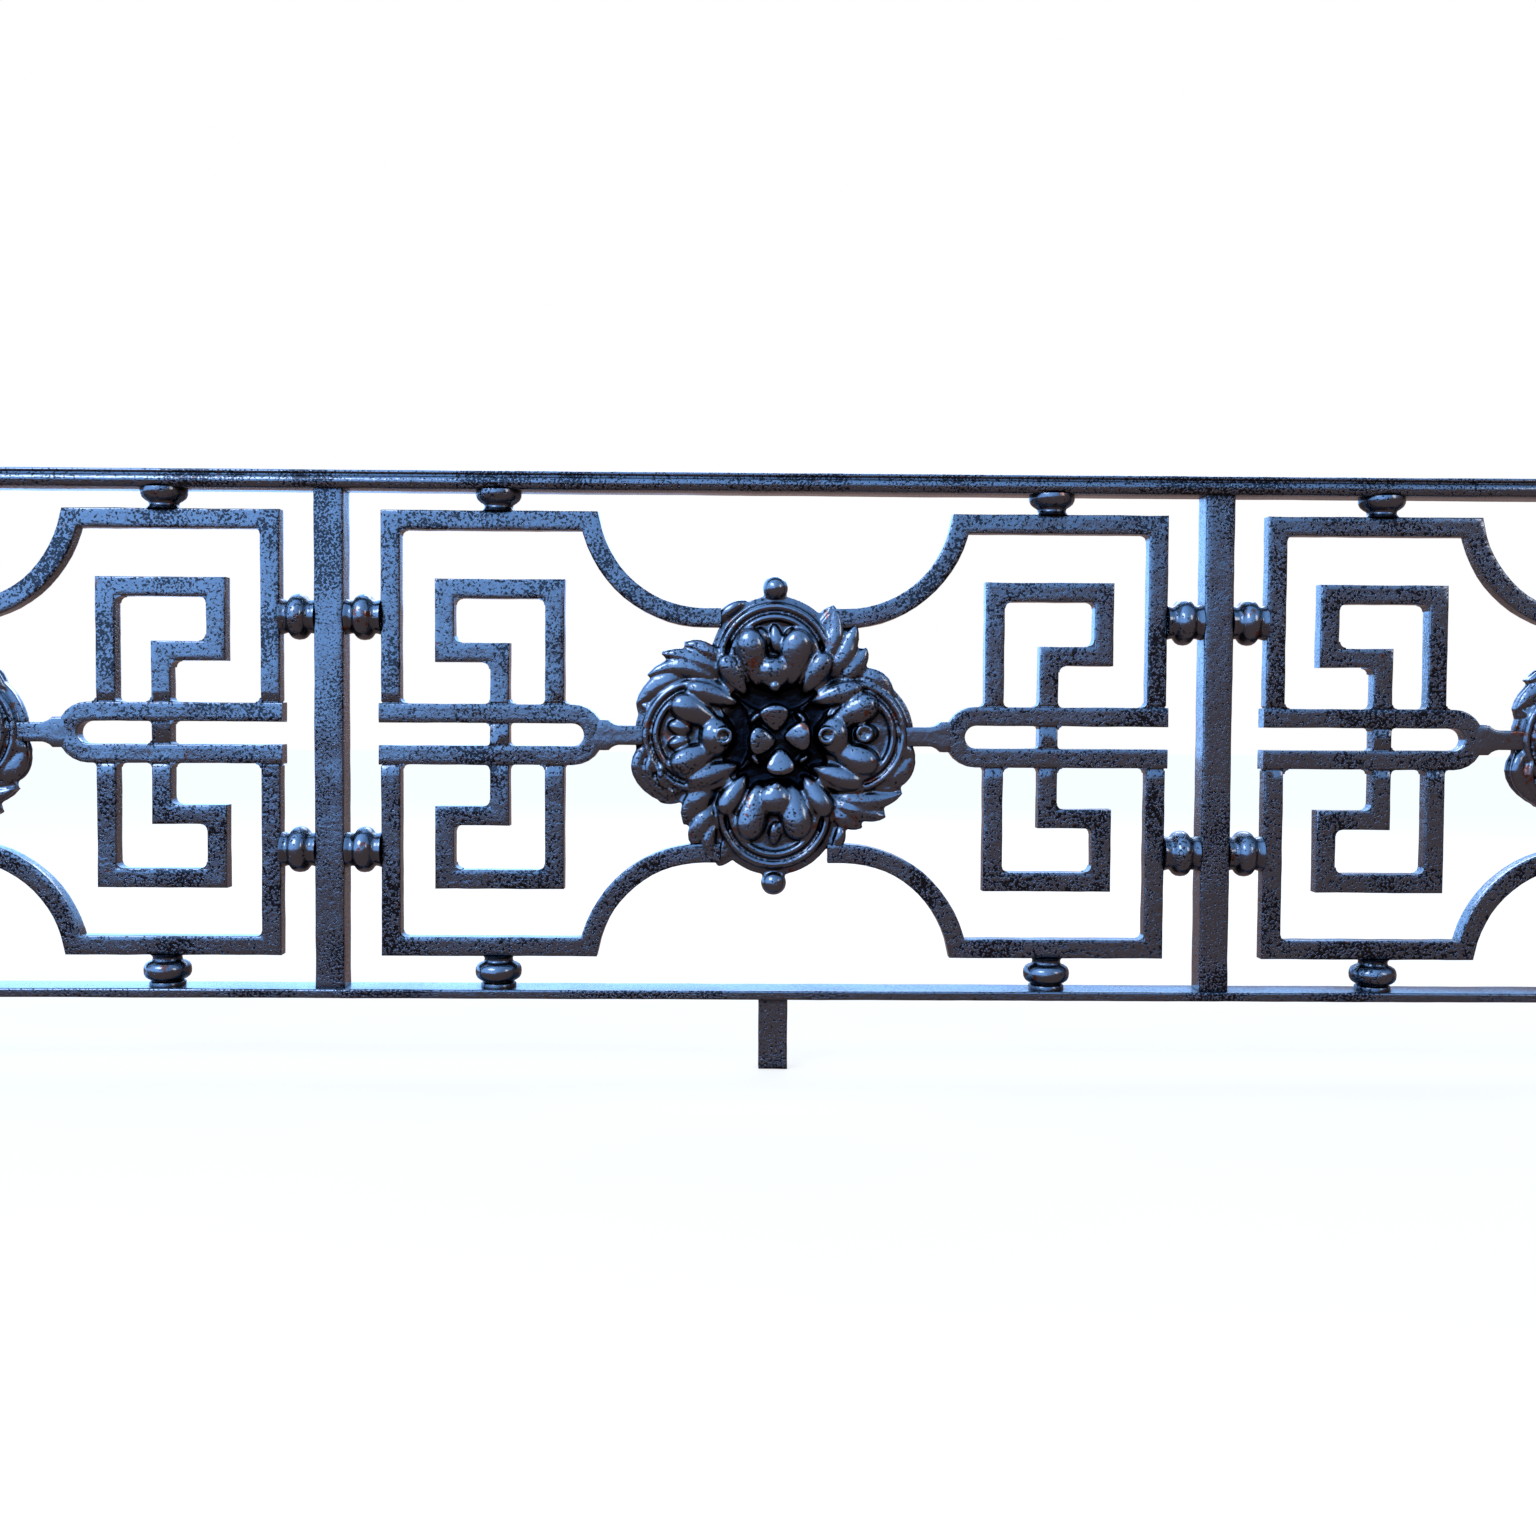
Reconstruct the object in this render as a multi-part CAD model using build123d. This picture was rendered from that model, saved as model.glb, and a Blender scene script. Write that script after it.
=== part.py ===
from build123d import *
from math import asin, cos, pi, sin
import os

# Balcony railing panel run: square posts between two rails, and in each bay a pair of Greek key
# panels held apart by turned collars, with a cast leaf rosette in the middle.
# Millimetres. X runs along the railing, Y through it (front is -Y), Z is up. The origin is on the
# flat underside of the middle foot.

# Run and rails
bay_count = 3
bay_pitch = 890.0
rail_depth = 44.0
rail_overhang = 7.0
top_rail_height = 18.5
top_rail_underside_width = 34.0
top_rail_roll_height = 4.5
top_rail_groove_depth = 2.0
top_rail_groove_height = 1.5
top_rail_crown = 1.0
bottom_rail_height = 10.0
bottom_rail_edge_radius = 2.5

# Posts and feet
post_width = 30.0
foot_width = 30.0
foot_length = 71.0
post_edge_radius = 1.5

# Bars of the panels
bar_width = 20.0
bar_depth = 18.0
corner_radius = 1.5
panel_height = 448.0
bottom_gap = 31.0
top_gap = 19.0
post_gap = 35.0

# Scroll of the outer frame: the quarter arc that sweeps from the top bar to the rosette
scroll_tail_offset = 118.5
arc_centre_from_bay = 71.0
arc_centre_above_bar = 21.5

# Key panel: distances of bar centre lines from the bay's middle and from the panel's mid height
loop_arm_offset = 21.0
loop_nose_from_bay = 203.0
loop_pad_from_bay = 168.0
loop_end_overhang = 2.0
key_gap = 34.0
key_inner_from_bay = 221.0
key_top_offset = 146.0
key_turn_offset = 82.0

# Stem between the loop and the rosette
stem_height = 20.0
stem_flare_height = 31.0
stem_flare_length = 11.0

# Turned collars
bead_diameter = 46.0
bead_width = 18.0
bead_cove_radius = 3.0
side_neck_diameter = 33.0
rail_neck_diameter = 29.0
base_ring_diameter = 35.0
base_ring_height = 4.0
side_collar_offset = 117.0

# Rosette: the petals and the plate behind them
plate_thickness = 10.0
petal_offset = 76.0
collar_radius = 65.0
petal_radius = 53.0
petal_rim_width = 7.0
collar_roll_width = 5.0
collar_roll_rise = 3.0
petal_rim_height = 10.0
petal_valley_height = 5.0
petal_floor_height = 9.0

# Rosette: the hub's bud, the recess round it, and the ball heads
recess_radius = 44.0
bud_radius = 32.0
bud_wall_height = 8.0
bud_dome_height = 13.0
sepal_length = 27.0
sepal_width = 23.0
sepal_tip_width = 19.0
sepal_offset = 18.0
sepal_height = 6.5
knob_diameter = 25.0
knob_offset = 149.0

# Levels and lengths that follow from the sizes above
bottom_rail_top = foot_length + bottom_rail_height
panel_bottom = bottom_rail_top + bottom_gap
panel_middle = panel_bottom + panel_height / 2
panel_top = panel_bottom + panel_height
top_rail_bottom = panel_top + top_gap
rail_length = bay_count * bay_pitch + post_width + 2 * rail_overhang
frame_outer_from_bay = bay_pitch / 2 - post_width / 2 - post_gap
frame_bar_from_bay = frame_outer_from_bay - bar_width / 2
frame_bar_offset = panel_height / 2 - bar_width / 2
arc_radius = frame_bar_offset + arc_centre_above_bar - scroll_tail_offset
arm_outer_offset = loop_arm_offset + bar_width / 2
arm_inner_offset = loop_arm_offset - bar_width / 2
key_outer_from_bay = frame_outer_from_bay - 1.5 * bar_width - key_gap
key_middle_from_bay = (key_inner_from_bay + key_outer_from_bay) / 2
rail_collar_from_bay = key_middle_from_bay + 2.0
rosette_radius = petal_offset + collar_radius


def bar_segment(x_start, z_start, x_end, z_end):
    """Face of one straight bar, carried half a bar width past both ends of its centre line."""
    width = abs(x_end - x_start) + bar_width
    height = abs(z_end - z_start) + bar_width
    centre = Pos((x_start + x_end) / 2, (z_start + z_end) / 2)
    return centre * Rectangle(width, height)


def bar_run(points):
    """Face of a bent bar with square corners, through its centre line points."""
    face = Sketch()
    for start, end in zip(points[:-1], points[1:]):
        face = face + bar_segment(start[0], start[1], end[0], end[1])
    return face


def cut_from_plate(face, depth):
    """Solid of a face drawn in the panel's own plane, centred through the railing."""
    return extrude(Plane.XZ * face, amount=depth / 2, both=True)


def round_corners(bar, least_x):
    """Round a bar's square corners, seen from the front, beyond a distance from the bay's middle."""
    through = bar.edges().filter_by(Axis.Y)
    corners = [edge for edge in through if -edge.center().X > least_x]
    return fillet(corners, corner_radius)


def revolve_profile(outline):
    """Turn a closed outline of (radius, height) edges about the Z axis."""
    face = make_face(outline)
    return revolve(Plane.XZ * face, axis=Axis.Z, revolution_arc=360)


def dome_middle(radius, base_height, top_height):
    """Point half way up a dome's arc, whose centre is on the axis of turning."""
    rise = top_height - base_height
    sphere_radius = (radius**2 + rise**2) / (2 * rise)
    half_angle = asin(radius / sphere_radius) / 2
    height = top_height - sphere_radius * (1 - cos(half_angle))
    return (sphere_radius * sin(half_angle), height)


def face_forward(solid):
    """Lay a piece made about the Z axis so that the axis points to the front, on the plate's face."""
    return Pos(0, -plate_thickness / 2, 0) * Rot(90, 0, 0) * solid


def top_rail():
    """Moulded cap rail: rolled upper edge, groove, and a convex lower moulding."""
    half = rail_depth / 2
    under = top_rail_underside_width / 2
    groove_top = top_rail_height - top_rail_roll_height
    groove_bottom = groove_top - top_rail_groove_height
    groove_half = half - top_rail_groove_depth
    moulding = ThreePointArc((under, 0), (half, groove_bottom / 2), (groove_half, groove_bottom))
    groove = Line((groove_half, groove_bottom), (groove_half, groove_top))
    roll_middle = (half, groove_top + top_rail_roll_height / 2)
    roll = ThreePointArc((groove_half, groove_top), roll_middle, (groove_half, top_rail_height))
    crown = Line((groove_half, top_rail_height), (0, top_rail_height + top_rail_crown))
    middle = Line((0, top_rail_height + top_rail_crown), (0, 0))
    underside = Line((0, 0), (under, 0))
    side = make_face([underside, moulding, groove, roll, crown, middle])
    section = side + mirror(side, about=Plane.YZ)
    rail = extrude(Plane.YZ * section, amount=rail_length / 2, both=True)
    return Pos(0, 0, top_rail_bottom) * rail


def bottom_rail():
    """Flat bar with eased long edges."""
    section = RectangleRounded(rail_depth, bottom_rail_height, bottom_rail_edge_radius)
    rail = extrude(Plane.YZ * section, amount=rail_length / 2, both=True)
    return Pos(0, 0, foot_length + bottom_rail_height / 2) * rail


def upright(width, z_low, z_high):
    """Square bar with eased corners."""
    section = RectangleRounded(width, width, post_edge_radius)
    return Pos(0, 0, z_low) * extrude(section, amount=z_high - z_low)


# Leaf fingers of the rosette: root, tip and width of each, as shares of the rosette's radius
upper_left_leaves = [
    ((-0.37, 0.49), (-0.65, 0.67), 0.15),
    ((-0.41, 0.42), (-0.81, 0.60), 0.17),
    ((-0.48, 0.33), (-0.91, 0.44), 0.18),
    ((-0.66, 0.07), (-0.99, 0.24), 0.24),
]
upper_right_leaves = [
    ((0.28, 0.62), (0.42, 0.94), 0.17),
    ((0.33, 0.52), (0.59, 0.80), 0.20),
    ((0.38, 0.38), (0.66, 0.63), 0.19),
    ((0.44, 0.24), (0.79, 0.40), 0.17),
]
lower_right_leaves = [
    ((0.62, -0.01), (1.00, -0.14), 0.26),
    ((0.52, -0.23), (0.92, -0.41), 0.24),
    ((0.45, -0.34), (0.80, -0.58), 0.22),
    ((0.38, -0.42), (0.63, -0.65), 0.18),
]
lower_left_leaves = [
    ((-0.66, -0.04), (-0.99, -0.16), 0.24),
    ((-0.56, -0.20), (-0.82, -0.48), 0.26),
    ((-0.42, -0.36), (-0.65, -0.64), 0.20),
    ((-0.36, -0.54), (-0.58, -0.79), 0.20),
    ((-0.28, -0.64), (-0.40, -0.94), 0.19),
]
all_leaves = upper_left_leaves + upper_right_leaves + lower_right_leaves + lower_left_leaves
rib_end_share = 0.1
rib_width_share = 0.55
rib_rise = 3.0
rib_bevel = 2.7


def leaf(base, tip, width):
    """A pointed leaf outline between two points, bulging to its full width half way."""
    start = Vector(base[0], base[1]) * rosette_radius
    end = Vector(tip[0], tip[1]) * rosette_radius
    middle = (start + end) * 0.5
    along = (end - start).normalized()
    side = Vector(-along.Y, along.X) * (width * rosette_radius / 2)
    upper = ThreePointArc(start, middle + side, end)
    lower = ThreePointArc(end, middle - side, start)
    return make_face([upper, lower])


def rosette_outline():
    """Silhouette of the rosette: four round collars round the petals, with leaves between."""
    outline = Circle(petal_offset)
    for place in PolarLocations(petal_offset, 4, 0):
        outline = outline + place * Circle(collar_radius)
    for base, tip, width in all_leaves:
        outline = outline + leaf(base, tip, width)
    return outline


def finger(length, wide, narrow):
    """A rounded lobe along the X axis, its wide end at the start and its narrow end outward."""
    start = wide / 2 - length / 2
    end = length / 2 - narrow / 2
    lean = asin((wide - narrow) / 2 / (end - start))
    wide_turn = (pi + pi / 2 - lean) / 2
    narrow_turn = (pi / 2 - lean) / 2
    wide_seam = (start + wide / 2 * sin(lean), wide / 2 * cos(lean))
    narrow_seam = (end + narrow / 2 * sin(lean), narrow / 2 * cos(lean))
    wide_middle = (start + wide / 2 * cos(wide_turn), wide / 2 * sin(wide_turn))
    narrow_middle = (end + narrow / 2 * cos(narrow_turn), narrow / 2 * sin(narrow_turn))
    wide_end = ThreePointArc((-length / 2, 0), wide_middle, wide_seam)
    flank = Line(wide_seam, narrow_seam)
    narrow_end = ThreePointArc(narrow_seam, narrow_middle, (length / 2, 0))
    axis = Line((length / 2, 0), (-length / 2, 0))
    return revolve(make_face([wide_end, flank, narrow_end, axis]), axis=Axis.X, revolution_arc=360)


def leaf_rib(base, tip, width):
    """Bevelled rib down a leaf, raised on both of the plate's faces."""
    along = Vector(tip[0] - base[0], tip[1] - base[1]) * rib_end_share
    start = (base[0] + along.X, base[1] + along.Y)
    end = (tip[0] - along.X, tip[1] - along.Y)
    rib = cut_from_plate(leaf(start, end, width * rib_width_share), plate_thickness + 2 * rib_rise)
    faces = rib.faces().sort_by(Axis.Y)
    return chamfer(faces[0].edges() + faces[-1].edges(), rib_bevel)


def rosette_plate(outline):
    """The cast leaf plate: a roll round each petal's seat and a rib down each leaf, on both faces."""
    rolls = Sketch()
    seats = Sketch()
    for place in PolarLocations(petal_offset, 4, 0):
        rolls = rolls + place * Circle(petal_radius + collar_roll_width)
        seats = seats + place * Circle(petal_radius)
    plate = cut_from_plate(outline, plate_thickness)
    plate = plate + cut_from_plate(rolls & outline, plate_thickness + 2 * collar_roll_rise)
    for base, tip, width in all_leaves:
        plate = plate + leaf_rib(base, tip, width)
    seat_depth = 2 * petal_rim_height
    seat_middle = plate_thickness / 2 + seat_depth / 2
    for side in (1, -1):
        plate = plate - Pos(0, side * seat_middle, 0) * cut_from_plate(seats, seat_depth)
    return plate


# Lobes of a petal: distance outward and sideways from its middle, length, widths, rise and turn
petal_lobes = [
    (7, 21, 46, 20, 28, 17, 14),
    (7, -21, 46, 20, 28, 17, -14),
    (-13, 36, 34, 12, 20, 13, 24),
    (-13, -36, 34, 12, 20, 13, -24),
    (-16, 0, 32, 22, 26, 19, 0),
    (20, 0, 22, 9, 12, 12, 0),
]


def petal():
    """Shell petal about the Z axis: rolled rim, dished floor, the lobes on it, open to the recess."""
    rim_inner = petal_radius - petal_rim_width
    base = Line((0, 0), (petal_radius, 0))
    wall = Line((petal_radius, 0), (petal_radius, petal_valley_height))
    rim_middle = (petal_radius - petal_rim_width / 2, petal_rim_height)
    rim = ThreePointArc(
        (petal_radius, petal_valley_height), rim_middle, (rim_inner, petal_valley_height)
    )
    crest = dome_middle(rim_inner, petal_valley_height, petal_floor_height)
    floor = ThreePointArc((rim_inner, petal_valley_height), crest, (0, petal_floor_height))
    middle = Line((0, petal_floor_height), (0, 0))
    dish = revolve_profile([base, wall, rim, floor, middle])
    lobes = []
    for outward, sideways, length, inner, outer, rise, turn in petal_lobes:
        lobe = Rot(0, 0, turn + 180) * finger(length, outer, inner)
        lobes.append(Pos(outward, sideways, rise - outer / 2) * lobe)
    recess = Pos(-petal_offset, 0, 0) * Cylinder(recess_radius, 8 * petal_rim_height)
    block_height = 4 * petal_rim_height
    behind = Pos(0, 0, -block_height / 2) * Box(4 * petal_radius, 4 * petal_radius, block_height)
    return dish.fuse(*lobes) - recess - behind


def petals():
    """Four petals on the plate's front and four on its back."""
    front = [face_forward(place * petal()) for place in PolarLocations(petal_offset, 4, 0)]
    return front + [mirror(one, about=Plane.XZ) for one in front]


def bud():
    """Hub bud: a low dome with four rounded sepals folded over it."""
    base = Line((0, 0), (bud_radius, 0))
    wall = Line((bud_radius, 0), (bud_radius, bud_wall_height))
    crest = dome_middle(bud_radius, bud_wall_height, bud_dome_height)
    dome = ThreePointArc((bud_radius, bud_wall_height), crest, (0, bud_dome_height))
    middle = Line((0, bud_dome_height), (0, 0))
    core = revolve_profile([base, wall, dome, middle])
    sepal = Pos(0, 0, sepal_height) * finger(sepal_length, sepal_width, sepal_tip_width)
    sepals = [place * sepal for place in PolarLocations(sepal_offset, 4, 0)]
    front = face_forward(core.fuse(*sepals))
    return [front, mirror(front, about=Plane.XZ)]


def knobs(plate):
    """Ball heads that straddle the plate's rim above and below."""
    ball = Sphere(knob_diameter / 2)
    return [Pos(0, 0, side * knob_offset) * ball - plate for side in (1, -1)]


def outer_frame(outline):
    """Upper outer frame of the left half bay: upright, top bar and the arc to the rosette."""
    upright_bottom = arm_outer_offset + bar_width / 2
    upright_face = bar_segment(-frame_bar_from_bay, upright_bottom, -frame_bar_from_bay, frame_bar_offset)
    arc_centre_z = frame_bar_offset + arc_centre_above_bar
    corner_x = -arc_centre_from_bay - arc_radius
    top_face = bar_segment(-frame_bar_from_bay, frame_bar_offset, corner_x + bar_width / 2, frame_bar_offset)
    ring = Circle(arc_radius + bar_width / 2) - Circle(arc_radius - bar_width / 2)
    quarter = Pos(-arc_radius, -arc_radius) * Rectangle(2 * arc_radius, 2 * arc_radius)
    arc_face = Pos(-arc_centre_from_bay, arc_centre_z) * (ring & quarter)
    below_top = Pos(-arc_radius * 2, panel_height / 2 - arc_radius * 2) * Rectangle(arc_radius * 4, arc_radius * 4)
    arc_face = arc_face & below_top
    top_face = top_face - Pos(-arc_centre_from_bay, arc_centre_z) * Circle(arc_radius - bar_width / 2)
    tail_z = arc_centre_z - arc_radius
    tail_face = Pos(-arc_centre_from_bay / 2, tail_z) * Rectangle(arc_centre_from_bay, bar_width)
    face = upright_face + top_face + arc_face + tail_face
    rounded = round_corners(cut_from_plate(face, bar_depth), frame_bar_from_bay - bar_width)
    bent = rounded - cut_from_plate(outline, 2 * bar_depth)
    return bent.solids().sort_by(SortBy.VOLUME)[-1]


def key_loop():
    """Hairpin loop and the Greek key wound on it, for the left half bay."""
    end_x = -frame_outer_from_bay - loop_end_overhang
    nose_x = -loop_nose_from_bay
    arm_length = nose_x - end_x
    outer = Pos(nose_x, 0) * Circle(arm_outer_offset)
    outer = outer + Pos((end_x + nose_x) / 2, 0) * Rectangle(arm_length, 2 * arm_outer_offset)
    pad_depth = loop_nose_from_bay - loop_pad_from_bay
    outer = outer + Pos(-loop_pad_from_bay - pad_depth / 2, 0) * Rectangle(pad_depth, stem_flare_height)
    slot = Pos(nose_x, 0) * Circle(arm_inner_offset)
    slot = slot + Pos(end_x + arm_length / 2 - bar_width / 2, 0) * Rectangle(arm_length + bar_width, 2 * arm_inner_offset)
    face = outer - slot
    key = [
        (-key_inner_from_bay, loop_arm_offset),
        (-key_inner_from_bay, key_top_offset),
        (-key_outer_from_bay, key_top_offset),
        (-key_outer_from_bay, key_turn_offset),
        (-key_middle_from_bay, key_turn_offset),
        (-key_middle_from_bay, 0),
    ]
    upper_key = bar_run(key) - Rectangle(bay_pitch, 2 * arm_inner_offset)
    bridge = bar_segment(-key_middle_from_bay, -key_turn_offset, -key_middle_from_bay, key_turn_offset)
    face = face + upper_key + mirror(upper_key, about=Plane.XZ) + bridge
    return round_corners(cut_from_plate(face, bar_depth), loop_nose_from_bay)


def stem(outline):
    """Flared stem from the loop's nose to the rosette, left half bay."""
    half = stem_height / 2
    flare_half = stem_flare_height / 2
    wide_x = -loop_pad_from_bay
    narrow_x = wide_x + stem_flare_length
    curve_x = wide_x + stem_flare_length * 0.45
    curve_z = half + (flare_half - half) * 0.3
    upper = ThreePointArc((wide_x, flare_half), (curve_x, curve_z), (narrow_x, half))
    lower = ThreePointArc((narrow_x, -half), (curve_x, -curve_z), (wide_x, -flare_half))
    top = Line((narrow_x, half), (-petal_offset, half))
    end = Line((-petal_offset, half), (-petal_offset, -half))
    bottom = Line((-petal_offset, -half), (narrow_x, -half))
    seat = Line((wide_x, -flare_half), (wide_x, flare_half))
    face = make_face([upper, top, end, bottom, lower, seat])
    piece = cut_from_plate(face, bar_depth) - cut_from_plate(outline, 2 * bar_depth)
    return piece.solids().sort_by(SortBy.VOLUME)[-1]


def collar(length, neck_diameter, ring_height):
    """Turned collar on the Z axis: an optional base ring, a neck, a round bead and a neck."""
    neck = neck_diameter / 2
    ring = base_ring_diameter / 2
    bead = bead_diameter / 2
    low = (length - bead_width) / 2
    high = low + bead_width
    base = Line((0, 0), (neck, 0))
    lower_neck = Line((neck, 0), (neck, low))
    ball = ThreePointArc((neck, low), (bead, length / 2), (neck, high))
    upper_neck = Line((neck, high), (neck, length))
    top = Line((neck, length), (0, length))
    middle = Line((0, length), (0, 0))
    turned = revolve_profile([base, lower_neck, ball, upper_neck, top, middle])
    rounds = turned.edges().filter_by(GeomType.CIRCLE).group_by(Axis.Z)
    coves = rounds[1] + rounds[-2]
    turned = fillet(coves, bead_cove_radius)
    if ring_height > 0:
        turned = turned + Pos(0, 0, ring_height / 2) * Cylinder(ring, ring_height)
    return turned


def half_bay_collars(outline):
    """The turned pieces of the left half bay, and the stem."""
    pieces = [stem(outline)]
    side_x = -bay_pitch / 2 + post_width / 2
    side = Pos(side_x, 0, 0) * Rot(0, 90, 0) * collar(post_gap, side_neck_diameter, 0)
    for level in (side_collar_offset, -side_collar_offset):
        pieces.append(Pos(0, 0, level) * side)
    rail_x = -rail_collar_from_bay
    lower = collar(bottom_gap, rail_neck_diameter, base_ring_height)
    pieces.append(Pos(rail_x, 0, -panel_height / 2 - bottom_gap) * lower)
    full = collar(bottom_gap, rail_neck_diameter, 0)
    cut = Pos(0, 0, top_gap / 2) * Box(2 * bead_diameter, 2 * bead_diameter, top_gap)
    pieces.append(Pos(rail_x, 0, panel_height / 2) * (full & cut))
    return pieces


def place_in_bay(pieces, bay_x, mirrored):
    """Move left half bay pieces to a bay, turned over for its right half."""
    placed = []
    for piece in pieces:
        if mirrored:
            piece = mirror(piece, about=Plane.YZ)
        placed.append(Pos(bay_x, 0, panel_middle) * piece)
    return placed


def write_node(name, pieces):
    """Write one node's solids as one STEP file."""
    solids = []
    for piece in pieces:
        solids.extend(piece.solids())
    if len(solids) == 1:
        export_step(solids[0], f"parts/{name}.step")
    else:
        export_step(Compound(children=solids), f"parts/{name}.step")


def bay_centres():
    """Middle of each bay along the railing, with the bay's name."""
    names = ["left", "middle", "right"]
    first = -(bay_count - 1) / 2
    return [(names[i], (first + i) * bay_pitch) for i in range(bay_count)]


def main():
    os.makedirs("parts", exist_ok=True)
    write_node("top_rail", [top_rail()])
    write_node("bottom_rail", [bottom_rail()])
    for i in range(bay_count + 1):
        post_x = (i - bay_count / 2) * bay_pitch
        write_node(f"post_{i + 1}", [Pos(post_x, 0, 0) * upright(post_width, bottom_rail_top, top_rail_bottom)])

    outline = rosette_outline()
    rosette_petals = petals()
    rosette_bud = bud()
    plate = rosette_plate(outline)
    rosette_knobs = knobs(plate)
    loop = key_loop()
    for name, bay_x in bay_centres():
        write_node(f"{name}_bay_foot", [Pos(bay_x, 0, 0) * upright(foot_width, 0, foot_length)])
        write_node(f"{name}_bay_rosette_leaves", place_in_bay([plate], bay_x, False))
        write_node(f"{name}_bay_rosette_petals", place_in_bay(rosette_petals, bay_x, False))
        write_node(f"{name}_bay_rosette_buds", place_in_bay(rosette_bud, bay_x, False))
        write_node(f"{name}_bay_rosette_knobs", place_in_bay(rosette_knobs, bay_x, False))
    for side, mirrored in (("left", False), ("right", True)):
        upper_outline = mirror(outline, about=Plane.YZ) if mirrored else outline
        lower_outline = mirror(upper_outline, about=Plane.XZ)
        upper_frame = outer_frame(upper_outline)
        lower_frame = mirror(outer_frame(lower_outline), about=Plane.XY)
        collars = half_bay_collars(upper_outline)
        for name, bay_x in bay_centres():
            half = f"{name}_bay_{side}"
            write_node(f"{half}_upper_frame", place_in_bay([upper_frame], bay_x, mirrored))
            write_node(f"{half}_lower_frame", place_in_bay([lower_frame], bay_x, mirrored))
            write_node(f"{half}_key_loop", place_in_bay([loop], bay_x, mirrored))
            write_node(f"{half}_collars", place_in_bay(collars, bay_x, mirrored))


main()
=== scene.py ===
import math

import bmesh
import bpy
from mathutils import Matrix, Vector, noise


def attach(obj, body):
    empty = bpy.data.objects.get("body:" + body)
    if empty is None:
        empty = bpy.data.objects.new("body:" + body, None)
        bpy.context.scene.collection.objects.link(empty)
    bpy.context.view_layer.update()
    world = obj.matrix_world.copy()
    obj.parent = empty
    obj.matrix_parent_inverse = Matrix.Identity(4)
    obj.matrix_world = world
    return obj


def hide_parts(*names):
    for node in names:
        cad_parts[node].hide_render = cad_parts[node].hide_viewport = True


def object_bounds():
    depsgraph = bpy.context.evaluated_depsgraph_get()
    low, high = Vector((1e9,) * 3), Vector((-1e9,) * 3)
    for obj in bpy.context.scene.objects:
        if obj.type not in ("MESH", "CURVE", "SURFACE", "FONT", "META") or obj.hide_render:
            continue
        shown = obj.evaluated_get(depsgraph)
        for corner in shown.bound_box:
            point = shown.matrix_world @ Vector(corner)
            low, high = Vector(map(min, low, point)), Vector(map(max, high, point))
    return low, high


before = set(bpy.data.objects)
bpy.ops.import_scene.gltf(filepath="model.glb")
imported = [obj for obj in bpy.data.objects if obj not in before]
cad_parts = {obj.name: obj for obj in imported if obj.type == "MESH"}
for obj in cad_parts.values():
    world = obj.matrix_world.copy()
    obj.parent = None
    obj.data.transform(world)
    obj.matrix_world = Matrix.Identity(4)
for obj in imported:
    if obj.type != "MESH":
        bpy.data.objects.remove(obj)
cad_low, cad_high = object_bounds()

# Camera. It stands where the photograph's stood: a little left of the bay's middle, just above the
# rosette's height, looking slightly down. The image is 1536 pixels square. The place is in
# millimetres, which MM turns into metres.
MM = 0.001
image_size = 1536
focal_pixels = 1570.3
camera_place = (-25.7, -1586.8, 361.5)
camera_yaw = 0.01224
camera_pitch = 0.03649
camera_roll = -0.00605
camera_data = bpy.data.cameras.new("camera")
camera_data.sensor_width = 36.0
camera_data.lens = camera_data.sensor_width * focal_pixels / image_size
camera_data.clip_start = 0.05
camera_data.clip_end = 50.0
camera = bpy.data.objects.new("camera", camera_data)
bpy.context.scene.collection.objects.link(camera)
camera.matrix_world = (
    Matrix.Translation(Vector(camera_place) * MM)
    @ Matrix.Rotation(-camera_yaw, 4, "Z")
    @ Matrix.Rotation(math.pi / 2 - camera_pitch, 4, "X")
    @ Matrix.Rotation(-camera_roll, 4, "Z")
)
bpy.context.scene.camera = camera

# Studio. A pale floor, a backdrop that is white only where the camera looks, and soft lamps: a wide
# cool one to the left of the camera and above it, and weaker ones to the right and behind. What the
# paint mirrors is blue sky over brown ground. The sky is brighter and starts lower on the left.
# Lamps and floor are set down in metres.
def linear_colour(hex_code):
    """An sRGB hex colour as linear red, green, blue and alpha."""
    parts = [int(hex_code[start : start + 2], 16) / 255 for start in (1, 3, 5)]
    turned = [part / 12.92 if part <= 0.04045 else ((part + 0.055) / 1.055) ** 2.4 for part in parts]
    return (*turned, 1.0)


def add_node(tree, kind, settings=None, links=None):
    """Add a node, set its properties and sockets by name, and link its sockets to outputs."""
    node = tree.nodes.new(kind)
    for name, value in (settings or {}).items():
        if isinstance(name, int) or name in node.inputs:
            node.inputs[name].default_value = value
        else:
            setattr(node, name, value)
    for name, output in (links or {}).items():
        tree.links.new(output, node.inputs[name])
    return node


def add_ramp(tree, value, start, end, low=0.0, high=1.0):
    """Turn a value that runs from start to end into one that runs from low to high."""
    span = {"From Min": start, "From Max": end, "To Min": low, "To Max": high}
    return add_node(tree, "ShaderNodeMapRange", span, {"Value": value}).outputs["Result"]


def add_blend(tree, share, under, over):
    """Blend two colours, each a fixed one or a node's output, by the share of the second."""
    fixed = {"data_type": "RGBA"}
    linked = {"Factor": share}
    for socket, colour in ((6, under), (7, over)):
        (fixed if isinstance(colour, tuple) else linked)[socket] = colour
    return add_node(tree, "ShaderNodeMix", fixed, linked).outputs[2]


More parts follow.
